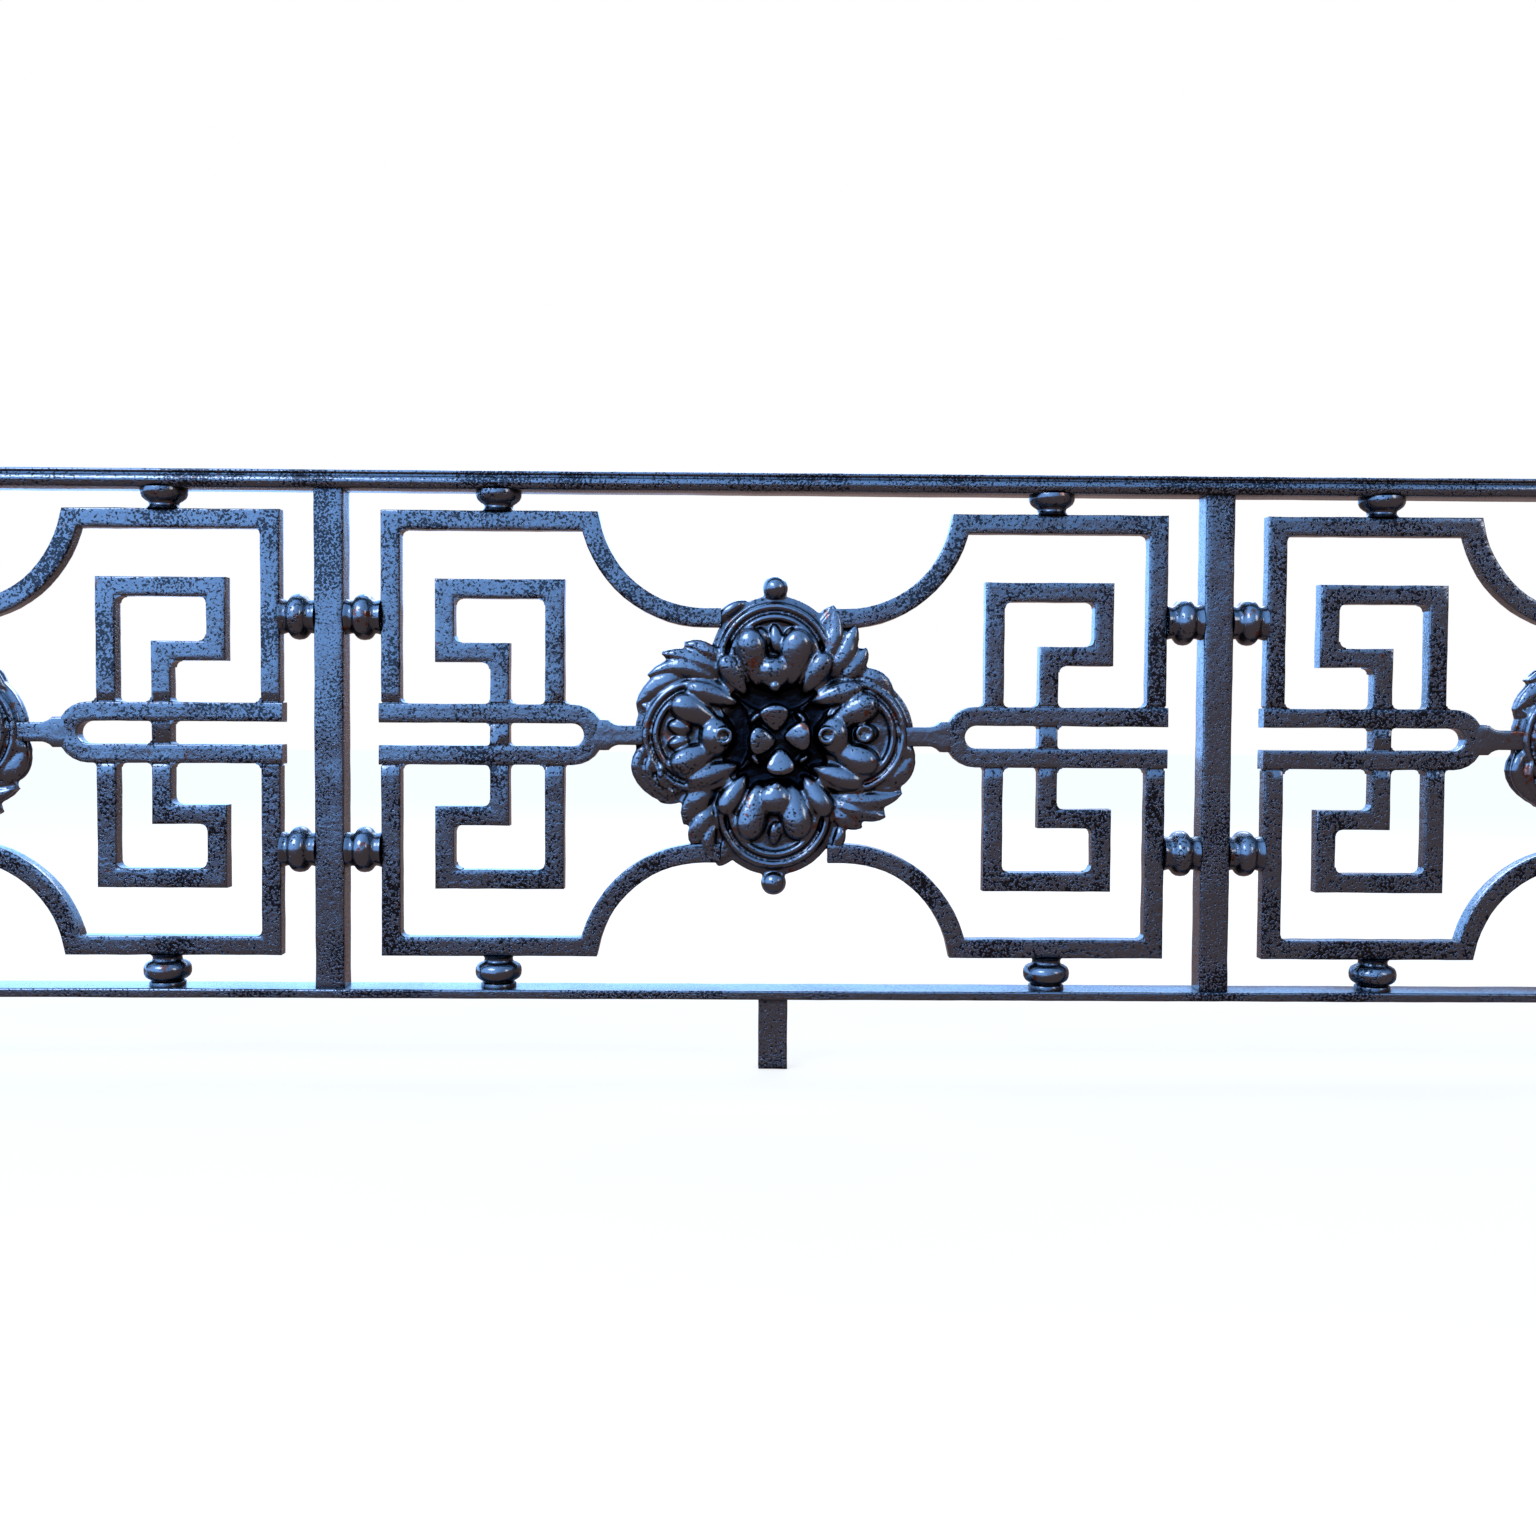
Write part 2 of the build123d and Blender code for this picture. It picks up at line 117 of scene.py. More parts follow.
def add_choice(tree, share, first, second):
    """Show the first shader, or the second by its share."""
    links = {1: first.outputs[0], 2: second.outputs[0]}
    if isinstance(share, float):
        return add_node(tree, "ShaderNodeMixShader", {0: share}, links)
    return add_node(tree, "ShaderNodeMixShader", {}, {0: share, **links})


white = (1, 1, 1, 1)
ground_colour = linear_colour("#70605F")
sky_colour = linear_colour("#8FC0FF")
horizon_slope = 0.33
horizon_band = (-0.01, 0.08)
bright_band = (-0.4, 0.45)
sky_strengths = (3.7, 1.6)
world = bpy.data.worlds.new("studio")
world.use_nodes = True
tree = world.node_tree
tree.nodes.clear()
rays = add_node(tree, "ShaderNodeLightPath")
place = add_node(tree, "ShaderNodeTexCoord")
way = add_node(tree, "ShaderNodeSeparateXYZ", {}, {"Vector": place.outputs["Generated"]})
tilt = {"operation": "MULTIPLY_ADD", 1: -horizon_slope}
above = add_node(tree, "ShaderNodeMath", tilt, {0: way.outputs["X"], 2: way.outputs["Z"]})
sky = add_blend(tree, add_ramp(tree, above.outputs[0], *horizon_band), ground_colour, sky_colour)
strength = add_ramp(tree, way.outputs["X"], *bright_band, *sky_strengths)
soft = add_node(tree, "ShaderNodeBackground", {}, {"Color": sky, "Strength": strength})
backdrop = add_node(tree, "ShaderNodeBackground", {"Color": white, "Strength": 1.0})
chosen = add_choice(tree, rays.outputs["Is Camera Ray"], soft, backdrop)
add_node(tree, "ShaderNodeOutputWorld", {}, {"Surface": chosen.outputs[0]})
bpy.context.scene.world = world


def add_soft_lamp(name, place, aim, size, power, colour):
    """A wide soft lamp pointed at a place."""
    data = bpy.data.lights.new(name, "AREA")
    data.shape = "RECTANGLE"
    data.size, data.size_y = size
    data.energy = power
    data.color = linear_colour(colour)[:3]
    lamp = bpy.data.objects.new(name, data)
    bpy.context.scene.collection.objects.link(lamp)
    lamp.location = place
    lamp.rotation_euler = (Vector(aim) - Vector(place)).to_track_quat("-Z", "Y").to_euler()


add_soft_lamp("left_lamp", (-2.2, -2.8, 2.8), (-0.2, 0, 0.4), (1.8, 1.4), 70, "#E6EEFF")
add_soft_lamp("right_lamp", (2.8, -2.6, 1.8), (0.3, 0, 0.4), (1.0, 1.2), 15, "#FFF1E2")
add_soft_lamp("back_lamp", (0.5, 2.8, 2.4), (0, 0, 0.4), (3.0, 1.4), 60, "#EEF3FF")

floor_half_size = 12.0
floor_gap = 0.5 * MM
white_share = 0.75
floor_shape = bmesh.new()
bmesh.ops.create_grid(floor_shape, x_segments=1, y_segments=1, size=floor_half_size)
floor_mesh = bpy.data.meshes.new("floor")
floor_shape.to_mesh(floor_mesh)
floor_shape.free()
floor = bpy.data.objects.new("floor", floor_mesh)
bpy.context.scene.collection.objects.link(floor)
floor.location.z = cad_low.z - floor_gap

# Pale floor: matt and warm for the light it throws up, nearly white to the camera, and brown ground
# where the paint mirrors it.
pale_floor = bpy.data.materials.new("pale_floor")
pale_floor.use_nodes = True
tree = pale_floor.node_tree
tree.nodes.clear()
rays = add_node(tree, "ShaderNodeLightPath")
matt = add_node(tree, "ShaderNodeBsdfDiffuse", {"Color": linear_colour("#FFE4C8")})
mirrored = add_node(tree, "ShaderNodeEmission", {"Color": ground_colour, "Strength": 1.8})
lit = add_node(tree, "ShaderNodeEmission", {"Color": white, "Strength": 1.0})
seen = add_choice(tree, white_share, matt, lit)
unseen = add_choice(tree, rays.outputs["Is Glossy Ray"], matt, mirrored)
chosen = add_choice(tree, rays.outputs["Is Camera Ray"], unseen, seen)
add_node(tree, "ShaderNodeOutputMaterial", {}, {"Surface": chosen.outputs[0]})
floor.data.materials.append(pale_floor)

# Gloss black paint, many brushed coats over rough iron. The eye sees mirrored sky broken by small
# dark pits, denser in patches, and rust brown where the coats are thin. The hollows, which ambient
# occlusion finds, and the rosette's recess, which a vertex attribute marks, are painted near black
# with less coat: painted shade.
paint_colour = linear_colour("#646A72")
pit_colour = linear_colour("#12151D")
rust_colour = linear_colour("#6A3A28")
painted_hollow_shade_colour = linear_colour("#0E1016")
patch_mm = 70
rust_mm = 16
patch_band = (0.42, 0.66)
patch_gain = 0.16
pit_edge = 0.09
rust_edge = 0.05
open_band = (0.5, 0.92)


def gloss_paint(name, lump_mm, pit_mm, lump_relief_mm, pit_relief_mm, pit_level, rust_level, hollow_shade_mm):
    """Thick gloss paint over iron: lumps, pits, rust showing through, and painted shade in hollows."""
    material = bpy.data.materials.new(name)
    material.use_nodes = True
    tree = material.node_tree
    tree.nodes.clear()
    place = add_node(tree, "ShaderNodeTexCoord").outputs["Object"]
    fields = []
    for size_mm, detail, more in (
        (lump_mm, 2.0, {"Distortion": 0.6}),
        (pit_mm, 1.5, {}),
        (patch_mm, 1.0, {}),
        (rust_mm, 4.0, {"Roughness": 0.65}),
    ):
        settings = {"Scale": 1 / (size_mm * MM), "Detail": detail, **more}
        fields.append(add_node(tree, "ShaderNodeTexNoise", settings, {"Vector": place}).outputs["Fac"])
    lumps, specks, patches, rusty = fields
    coarse = add_ramp(tree, patches, *patch_band, 0.0, patch_gain)
    dense = add_node(tree, "ShaderNodeMath", {"operation": "ADD"}, {0: specks, 1: coarse}).outputs[0]
    pits = add_ramp(tree, dense, pit_level, pit_level + pit_edge)
    swell = {"Strength": 1.0, "Distance": lump_relief_mm * MM}
    wavy = add_node(tree, "ShaderNodeBump", swell, {"Height": lumps}).outputs["Normal"]
    dent = {"Strength": 1.0, "Distance": pit_relief_mm * MM, "invert": True}
    bump = add_node(tree, "ShaderNodeBump", dent, {"Height": pits, "Normal": wavy}).outputs["Normal"]
    rust = add_ramp(tree, rusty, rust_level, rust_level + rust_edge)
    toned = add_blend(tree, rust, add_blend(tree, pits, paint_colour, pit_colour), rust_colour)
    # Painted shade: ambient occlusion and the recess attribute turn the colour near black and thin the
    # coat.
    hollow = add_node(tree, "ShaderNodeAmbientOcclusion", {"samples": 4, "Distance": hollow_shade_mm * MM})
    sunk = add_node(tree, "ShaderNodeAttribute", {"attribute_name": "painted_recess_shade"})
    shade = {0: hollow.outputs["AO"], 1: sunk.outputs["Fac"]}
    deep = add_node(tree, "ShaderNodeMath", {"operation": "SUBTRACT"}, shade).outputs[0]
    open_share = add_ramp(tree, deep, *open_band)
    shaded = add_blend(tree, open_share, painted_hollow_shade_colour, toned)
    coat = add_node(tree, "ShaderNodeMath", {"operation": "MULTIPLY", 1: 0.5}, {0: open_share}).outputs[0]
    finish = {"Metallic": 1.0, "Roughness": 0.2, "Coat Roughness": 0.08}
    inputs = {"Base Color": shaded, "Coat Weight": coat, "Normal": bump}
    surface = add_node(tree, "ShaderNodeBsdfPrincipled", finish, inputs)
    add_node(tree, "ShaderNodeOutputMaterial", {}, {"Surface": surface.outputs[0]})
    return material


bar_paint = gloss_paint(
    "gloss_black_paint_on_wrought_bar",
    lump_mm=6.0,
    pit_mm=2.4,
    lump_relief_mm=0.35,
    pit_relief_mm=0.35,
    pit_level=0.58,
    rust_level=0.68,
    hollow_shade_mm=6,
)
cast_paint = gloss_paint(
    "gloss_black_paint_on_castings",
    lump_mm=9.0,
    pit_mm=3.0,
    lump_relief_mm=0.35,
    pit_relief_mm=0.25,
    pit_level=0.68,
    rust_level=0.61,
    hollow_shade_mm=34,
)

# Forged bars of the panels. Square wrought bar, bent and fire welded, so its edges are soft and its
# faces are never quite flat. Each is swept along its centre line with mitred bends, and narrows to a
# seam where it butts against another. Sizes run from the bay's middle (x) and the panel's mid height
# (z), for the left half of a bay.
bay_pitch = 890.0
panel_middle = 336.0
bar_width = 20.0
bar_depth = 18.0
bar_corner = 1.8
bar_step = 7.0
seam_share = 0.9
seam_length = 1.4
pool_inset = 0.8
butt = bar_width / 2 - 1
upright_x = -385
top_z = 214
arc_centre = (-71.0, 235.5)
arc_radius = 117.0
arc_start = 180 + math.degrees(math.asin((arc_centre[1] - top_z) / arc_radius))
arc_end_x = -54
arm_end_x = -397
arm_z = 21
nose_x = -203
key_inner_x = -221
key_outer_x = -331
key_tail_x = -276
key_top_z = 146
key_low_z = 82


def bar_section(width, depth, radius, corner_steps=3, face_steps=4):
    """Outline of a rounded bar as (sideways, through) points."""
    outline = []
    for corner in range(4):
        middle_u = (width / 2 - radius) * (1 if corner in (0, 3) else -1)
        middle_v = (depth / 2 - radius) * (1 if corner in (0, 1) else -1)
        for step in range(corner_steps + 1):
            angle = math.pi / 2 * (corner + step / corner_steps)
            outline.append((middle_u + radius * math.cos(angle), middle_v + radius * math.sin(angle)))
    spaced = []
    for index, point in enumerate(outline):
        after = outline[(index + 1) % len(outline)]
        spaced.append(point)
        if math.dist(point, after) > 2 * radius:
            for step in range(1, face_steps):
                share = step / face_steps
                spaced.append(tuple(a + (b - a) * share for a, b in zip(point, after)))
    return spaced


def sweep(shape, path, section, scales=None):
    """Extrude a closed section along a path of (x, y, z) points, mitred at each point."""
    points = [Vector(point) for point in path]
    frames = []
    for index, point in enumerate(points):
        before = point - points[index - 1] if index else points[1] - point
        after = points[index + 1] - point if index + 1 < len(points) else before
        along = (before.normalized() + after.normalized()).normalized()
        side = Vector((0, 1, 0)).cross(along).normalized()
        through = along.cross(side)
        mitre = 1 / max(0.5, along.dot(before.normalized()))
        wide, thick = scales[index] if scales else (1, 1)
        turned = Matrix((side * mitre * wide, through * thick, along)).transposed()
        frames.append(Matrix.Translation(point) @ turned.to_4x4())
    cap = shape.faces.new([shape.verts.new(frames[0] @ Vector((u, v, 0))) for u, v in section])
    for before, after in zip(frames[:-1], frames[1:]):
        grown = bmesh.ops.extrude_face_region(shape, geom=[cap, *cap.edges, *cap.verts])["geom"]
        cap = next(item for item in grown if isinstance(item, bmesh.types.BMFace))
        bmesh.ops.transform(shape, matrix=after @ before.inverted(), verts=cap.verts)


def spaced_path(corners):
    """Points along straight runs between corners, clear of the mitres at their ends."""
    clear = 0.6 * bar_width
    points = []
    for start, end in zip(corners[:-1], corners[1:]):
        points.append((start[0], 0, start[1]))
        length = math.dist(start, end)
        if length < 2 * clear + bar_step:
            continue
        count = round((length - 2 * clear) / bar_step)
        for index in range(count + 1):
            share = (clear + (length - 2 * clear) * index / count) / length
            x, z = [a + (b - a) * share for a, b in zip(start, end)]
            points.append((x, 0, z))
    points.append((corners[-1][0], 0, corners[-1][1]))
    return points


def seamed(path, ends):
    """Narrow a path's ends, 0 or -1, to a seam where they butt against a bar; its points and scales."""
    points = [Vector(point) for point in path]
    scales = [(1, 1)] * len(path)
    for end in ends:
        inward = (points[1 if end == 0 else -2] - points[end]).normalized()
        stretch = [points[end] + inward * distance for distance in (0, seam_length, 2 * seam_length)]
        narrow = [(seam_share, seam_share), (seam_share, seam_share), (1, 1)]
        if end == 0:
            points[:1], scales[:1] = stretch, narrow
        else:
            points[-1:], scales[-1:] = stretch[::-1], narrow[::-1]
    return points, scales


def arc_corners(centre, radius, start, end, steps):
    """Points round an arc, from one angle to another in degrees."""
    angles = [math.radians(start + (end - start) * step / steps) for step in range(steps + 1)]
    return [(centre[0] + radius * math.cos(a), centre[1] + radius * math.sin(a)) for a in angles]


def paint_pool(shape, crossing, toward, size):
    """Paint and weld pooled in one corner of two crossing bars, a concave fillet through them."""
    offsets = [(-1, -1), (size, -1)]
    for step in range(5):
        angle = math.pi / 2 * step / 4
        offsets.append((size * (1 - math.sin(angle)), size * (1 - math.cos(angle))))
    offsets.append((-1, size))
    corner_x, corner_z = [middle + way * bar_width / 2 for middle, way in zip(crossing, toward)]
    depth = bar_depth - 2 * pool_inset
    rim = [(corner_x + toward[0] * u, -depth / 2, corner_z + toward[1] * v) for u, v in offsets]
    face = shape.faces.new([shape.verts.new(place) for place in rim])
    grown = bmesh.ops.extrude_face_region(shape, geom=[face, *face.edges, *face.verts])["geom"]
    moved = [item for item in grown if isinstance(item, bmesh.types.BMVert)]
    bmesh.ops.translate(shape, vec=(0, depth, 0), verts=moved)


def roughen(shape, depth, wavelength):
    """Push the surface in, by about a depth, in lumps of a wavelength and of a third of it."""
    shape.normal_update()
    moves = []
    for vert in shape.verts:
        broad = noise.noise(vert.co / wavelength)
        fine = noise.noise(vert.co / (wavelength / 3))
        moves.append(vert.normal * depth * (0.7 * broad + 0.3 * fine - 0.6))
    for vert, move in zip(shape.verts, moves):
        vert.co += move


def add_piece(name, shape, material, nodes, sharp_angle=33):
    """Make a closed shape in millimetres into a smooth shaded piece that stands for CAD nodes."""
    bmesh.ops.scale(shape, vec=(MM, MM, MM), verts=shape.verts)
    for face in shape.faces:
        face.smooth = True
    for edge in shape.edges:
        edge.smooth = edge.calc_face_angle(0) < math.radians(sharp_angle)
    mesh = bpy.data.meshes.new(name)
    shape.to_mesh(mesh)
    shape.free()
    mesh.materials.append(material)
    piece = bpy.data.objects.new(name, mesh)
    bpy.context.scene.collection.objects.link(piece)
    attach(piece, "root")
    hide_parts(*nodes)


square_bar = bar_section(bar_width, bar_depth, bar_corner)


def outer_frame():
    """Upper outer frame: upright on the loop's arm, top bar, and the arc in to the rosette."""
    shape = bmesh.new()
    corners = [(upright_x, arm_z + butt), (upright_x, top_z)]
    corners += arc_corners(arc_centre, arc_radius, arc_start, 270, 14)
    corners.append((arc_end_x, arc_centre[1] - arc_radius))
    path, scales = seamed(spaced_path(corners), [0])
    sweep(shape, path, square_bar, scales)
    paint_pool(shape, (upright_x, top_z), (1, -1), 5)
    paint_pool(shape, (upright_x, arm_z), (1, 1), 4)
    return shape


def key_loop():
    """Hairpin loop, and the key bars butt welded to it."""
    shape = bmesh.new()
    nose = arc_corners((nose_x, 0), arm_z, 90, -90, 12)
    sweep(shape, spaced_path([(arm_end_x, arm_z)] + nose + [(arm_end_x, -arm_z)]), square_bar)
    for side in (1, -1):
        key = [(key_inner_x, arm_z + butt), (key_inner_x, key_top_z), (key_outer_x, key_top_z)]
        key += [(key_outer_x, key_low_z), (key_tail_x, key_low_z), (key_tail_x, arm_z + butt)]
        path, scales = seamed(spaced_path([(x, z * side) for x, z in key]), [0, -1])
        sweep(shape, path, square_bar, scales)
        for crossing, toward, size in (
            ((key_inner_x, key_top_z), (-1, -1), 6),
            ((key_outer_x, key_top_z), (1, -1), 6),
            ((key_outer_x, key_low_z), (1, 1), 6),
            ((key_tail_x, key_low_z), (-1, -1), 6),
            ((key_inner_x, arm_z), (-1, 1), 4),
            ((key_inner_x, arm_z), (1, 1), 3),
            ((key_tail_x, arm_z), (-1, 1), 4),
            ((key_tail_x, arm_z), (1, 1), 4),
            ((key_tail_x, arm_z), (-1, -1), 2.5),
            ((key_tail_x, arm_z), (1, -1), 2.5),
        ):
            paint_pool(shape, (crossing[0], crossing[1] * side), (toward[0], toward[1] * side), size)
    bridge = [(key_tail_x, arm_z - butt), (key_tail_x, butt - arm_z)]
    path, scales = seamed(spaced_path(bridge), [0, -1])
    sweep(shape, path, square_bar, scales)
    return shape


def place_shape(shape, bay_x, flip_x=False, flip_z=False):
    """Turn over a shape made for the left half bay where asked, and move it to its bay."""
    bmesh.ops.scale(shape, vec=(-1 if flip_x else 1, 1, -1 if flip_z else 1), verts=shape.verts)
    if flip_x != flip_z:
        bmesh.ops.reverse_faces(shape, faces=shape.faces)
    bmesh.ops.translate(shape, vec=(bay_x, 0, panel_middle), verts=shape.verts)
    return shape


bays = {"left": -bay_pitch, "middle": 0.0, "right": bay_pitch}
for bay, bay_x in bays.items():
    for side in ("left", "right"):
        half = f"{bay}_bay_{side}"
        for level in ("upper", "lower"):
            shape = place_shape(outer_frame(), bay_x, side == "right", level == "lower")
            roughen(shape, depth=0.7, wavelength=34)
            add_piece(f"{half}_{level}_frame_bar", shape, bar_paint, [f"{half}_{level}_frame"])
        shape = place_shape(key_loop(), bay_x, side == "right")
        roughen(shape, depth=0.7, wavelength=34)
        add_piece(f"{half}_key_loop_bar", shape, bar_paint, [f"{half}_key_loop"])

# Posts and feet. Heavier square bar with the same paint, welded between the rails and under them.
post_width = 30
post_corner = 2.2
post_low = 80.5
post_high = 579.5
foot_high = 71.5
post_bar = bar_section(post_width, post_width, post_corner, face_steps=5)
post_runs = [(f"post_{n + 1}", (n - 1.5) * bay_pitch, post_low, post_high) for n in range(4)]
foot_runs = [(f"{bay}_bay_foot", bay_x, 0, foot_high) for bay, bay_x in bays.items()]
for node, x, low, high in post_runs + foot_runs:
    shape = bmesh.new()
    sweep(shape, spaced_path([(x, low), (x, high)]), post_bar)
    roughen(shape, depth=0.7, wavelength=40)
    add_piece(f"{node}_bar", shape, bar_paint, [node])

# Rails. The moulded cap rail and the flat bottom rail are rolled bar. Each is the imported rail's own
# section, cut across at every step so that its surface can wave a little under the paint.
rail_step = 12
for rail in ("top_rail", "bottom_rail"):
    shape = bmesh.new()
    shape.from_mesh(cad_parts[rail].data)
    bmesh.ops.scale(shape, vec=(1 / MM, 1 / MM, 1 / MM), verts=shape.verts)
    bmesh.ops.remove_doubles(shape, verts=shape.verts, dist=0.01)
    bmesh.ops.dissolve_limit(shape, angle_limit=math.radians(0.5), verts=shape.verts, edges=shape.edges)
    half_length = cad_high.x / MM
    cuts = round(2 * half_length / rail_step)
    for cut in range(1, cuts):
        everything = shape.verts[:] + shape.edges[:] + shape.faces[:]
        place = (-half_length + cut * 2 * half_length / cuts, 0, 0)
        bmesh.ops.bisect_plane(shape, geom=everything, plane_co=place, plane_no=(1, 0, 0))
    roughen(shape, depth=0.5, wavelength=50)
    add_piece(f"{rail}_bar", shape, bar_paint, [rail], sharp_angle=28)

# Turned collars, and the flared stem between each loop and the rosette. Cast iron, smooth under the
# paint. Each collar is spun from its half outline of (radius, height) points, then laid down or stood
# up. The stem is square bar whose height changes along its length.
side_length = 35
side_collar_x = -430
side_collar_z = 117
rail_collar_x = -278
lower_collar_z = -255
upper_collar_z = 224
side_outline = [(0, 0), (17.6, 0), (17.2, 2), (16.5, 4), (16.3, 6), (16.9, 7.8), (18.8, 9.2), (21, 11)]
side_outline += [(22.4, 13.5), (23, 17.5)]
lower_outline = [(0, -0.5), (17.6, -0.5), (17.6, 3.2), (16.8, 4.2), (15.4, 5), (15.4, 5.8), (18.6, 7.2)]
lower_outline += [(21.2, 9.2), (22.6, 12), (23, 15.5), (22.6, 19), (21.2, 21.8), (18.6, 23.6)]
lower_outline += [(15.2, 24.8), (14.2, 26.4), (14, 28.6), (14.8, 30.4), (16.6, 31.6), (0, 31.6)]
upper_outline = [(0, -0.6), (17, -0.6), (15.4, 1), (14.2, 2.6), (14, 4.4), (14.8, 6.2), (18, 8.2)]
upper_outline += [(20.8, 10.6), (22.4, 13.8), (22.8, 16.6), (22.4, 19.5), (0, 19.5)]
# stem: x, height of the bar there
stem_heights = [(-186, 30), (-176, 31), (-169.4, 31), (-168.6, 29.8), (-167.6, 31), (-164.5, 25.5)]
stem_heights += [(-161, 22), (-157.5, 20.2), (-152, 20), (-145, 20), (-138, 20), (-130, 19)]


def spin_collar(shape, outline, place, lying=False):
    """Spin a half outline into a closed collar standing at a place, or lying along the railing."""
    turned = bmesh.new()
    verts = [turned.verts.new((radius, 0, height)) for radius, height in outline]
    edges = [turned.edges.new(pair) for pair in zip(verts[:-1], verts[1:])]
    full = {"axis": (0, 0, 1), "cent": (0, 0, 0), "angle": 2 * math.pi, "steps": 40, "use_merge": True}
    bmesh.ops.spin(turned, geom=verts + edges, **full)
    bmesh.ops.remove_doubles(turned, verts=turned.verts, dist=0.001)
    if lying:
        laid = Matrix.Rotation(math.pi / 2, 3, "Y")
        bmesh.ops.rotate(turned, verts=turned.verts, cent=(0, 0, 0), matrix=laid)
    bmesh.ops.translate(turned, verts=turned.verts, vec=place)
    made = bpy.data.meshes.new("turned")
    turned.to_mesh(made)
    turned.free()
    shape.from_mesh(made)
    bpy.data.meshes.remove(made)


def collars():
    """Both side collars, the collars to the rails, and the stem of the left half bay."""
    shape = bmesh.new()
    mirrored_part = [(radius, side_length - height) for radius, height in side_outline[-2::-1]]
    for z in (side_collar_z, -side_collar_z):
        spin_collar(shape, side_outline + mirrored_part, (side_collar_x, 0, z), lying=True)
    spin_collar(shape, lower_outline, (rail_collar_x, 0, lower_collar_z))
    spin_collar(shape, upper_outline, (rail_collar_x, 0, upper_collar_z))
    scales = [(height / bar_width, 1) for x, height in stem_heights]
    scales[0] = (scales[0][0], seam_share)
    sweep(shape, [(x, 0, 0) for x, height in stem_heights], square_bar, scales)
    return shape


for bay, bay_x in bays.items():
    for side in ("left", "right"):
        half = f"{bay}_bay_{side}"
        shape = place_shape(collars(), bay_x, side == "right")
        roughen(shape, depth=0.35, wavelength=16)
        add_piece(f"{half}_turned_collars", shape, cast_paint, [f"{half}_collars"], sharp_angle=50)

# Rosette. One casting: round collars, rolled rims, petals of fat lobes curling in to the hub, a bud
# of four sepals in a deep recess, and leaves that sweep out past the petals. The forms are set down
# one by one and fused into one skin, with the creases filled by paint. Its back repeats its front.
# A form's height is measured from the railing's middle plane toward the viewer.
petal_centres = [(0, 76), (-76, 0), (76, 0), (0, -76)]
plate_shift = 1.18
plate_radius = 48
plate_height = 9
plate_bevel = 4
dish_width = 84
dish_crest = 9
dish_thickness = 14
lobe_growth = 1.12
lobe_fullness = 1.6
crater_radius = 7
crater_tube = 2.4
knob_z = 148.5
knob_width = 26
voxel_size = 1.6
# rolled rims of a petal: radius, tube radius, height, half of the angle it spans
rim_rolls = [(53.5, 3.4, 9, 127), (43.0, 3.6, 11, 122)]
# petal lobes: middle x and z, length, width, crest height, turn of the outward end, taper
petal_lobes = [
    (-22, 79, 54, 27, 22.0, 100, 0.35),
    (20, 79, 54, 30, 22.0, 80, 0.35),
    (-41, 61, 42, 20, 18.5, 122, 0.35),
    (41, 63, 44, 21, 18.5, 58, 0.35),
    (-1, 63, 32, 34, 22.8, 90, 0.1),
    (1, 98, 26, 13, 16.0, 100, -0.3),
    (-13, 101, 16, 10, 15.0, 130, 0.0),
    (15, 101, 16, 10, 15.0, 50, 0.0),
    (-58, -1, 33, 38, 20.5, 180, 0.1),
    (-63, 41, 50, 19, 17.5, 162, 0.3),
    (-80, 24, 48, 25, 21.0, 154, 0.35),
    (-95, 8, 22, 15, 16.0, 165, 0.0),
    (-96, -7, 20, 12, 15.0, 195, 0.0),
    (-80, -22, 48, 25, 21.0, 204, 0.35),
    (-62, -38, 50, 20, 17.5, 198, 0.3),
    (59, 1, 33, 38, 20.5, 0, 0.1),
    (62, 42, 50, 20, 17.5, 17, 0.3),
    (80, 25, 48, 26, 21.0, 26, 0.35),
    (92, 3, 22, 17, 16.5, 5, 0.0),
    (80, -21, 48, 26, 21.0, -24, 0.35),
    (63, -40, 50, 20, 17.5, -18, 0.3),
    (1, -62, 32, 34, 22.5, 270, 0.1),
    (-21, -76, 54, 27, 21.5, 258, 0.35),
    (21, -75, 54, 29, 21.5, 282, 0.35),
    (-41, -59, 42, 20, 18.5, 238, 0.35),
    (42, -60, 44, 21, 18.5, 302, 0.35),
    (1, -98, 22, 12, 14.5, 262, -0.2),
]
# bud sepals: middle x and z, length, width, turn of the outward end
sepals = [(0, 18, 27, 27, 95), (-12, -5, 27, 26, 178), (23, 0, 27, 27, 2), (6, -26, 27, 27, 272)]
# round pips and rivets: x, z, diameter, crest height
pips = [(0, 50, 13, 22), (2, -51, 12, 21), (-128, 3, 11, 11), (127, 4, 11, 11)]
# ring craters: x, z, height
craters = [(-51, 0, 21.3), (52, 1, 21.3), (90, 3, 16)]
# tongues between the sepals: x, z, turn of the outward end
tongues = [(-20, 18, 140), (27, 19, 45), (-19, -24, 220), (29, -23, 310)]
